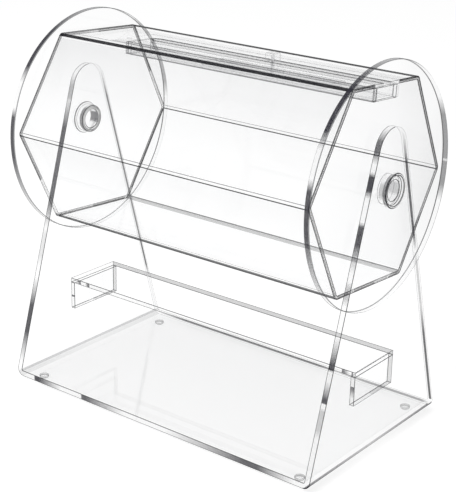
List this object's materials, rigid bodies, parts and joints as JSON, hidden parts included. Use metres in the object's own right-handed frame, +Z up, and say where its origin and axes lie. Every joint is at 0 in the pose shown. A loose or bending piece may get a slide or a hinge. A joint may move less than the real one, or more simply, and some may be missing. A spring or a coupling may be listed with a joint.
{
  "type": "raffle drum",
  "caption": "Clear acrylic raffle drum: a hexagonal tube between round end discs turns on hollow hubs in a bent sheet stand, with a slot and a sliding door on top.",
  "frame": {"origin": "on the table, below the middle of the stand", "axes": "+X along the drum's axis towards the slot's open end, +Y to the back, +Z up"},
  "size_m": [0.3306, 0.2, 0.3245],
  "materials": {
    "acrylic_sheet": "clear cast sheet, polished edges",
    "acrylic_tube": "clear turned tube",
    "acrylic_rod": "clear turned rod, polished",
    "bumper": "clear soft bumper",
    "steel": "plain countersunk screw"
  },
  "bodies": {
    "stand": {"stand_sheet": "acrylic_sheet", "brace_board": "acrylic_sheet", "brace_cheek_left": "acrylic_sheet", "brace_cheek_right": "acrylic_sheet", "foot_front_left": "bumper", "foot_front_right": "bumper", "foot_back_left": "bumper", "foot_back_right": "bumper"},
    "drum": {"drum_shell": "acrylic_sheet", "end_disc_left": "acrylic_sheet", "end_disc_right": "acrylic_sheet", "slot_cover": "acrylic_sheet", "channel_wall_front": "acrylic_sheet", "channel_wall_back": "acrylic_sheet", "channel_end_left": "acrylic_sheet", "channel_end_right": "acrylic_sheet", "window_plate": "acrylic_sheet", "hub_sleeve_left": "acrylic_tube", "hub_sleeve_right": "acrylic_tube", "hub_collar_left": "acrylic_tube", "hub_collar_right": "acrylic_tube"},
    "door": {"door_plate": "acrylic_sheet", "knob_stem": "acrylic_rod", "door_knob": "acrylic_rod", "knob_screw": "steel"}
  },
  "joints": [
    {"name": "drum_spin", "type": "hinge", "parent": "stand", "child": "drum", "pos_m": [0, 0, 0.2245], "axis": [1, 0, 0], "continuous": true},
    {"name": "door_slide", "type": "slide", "parent": "drum", "child": "door", "axis": [1, 0, 0], "range_m": [-0.0765, 0.0425]}
  ]
}
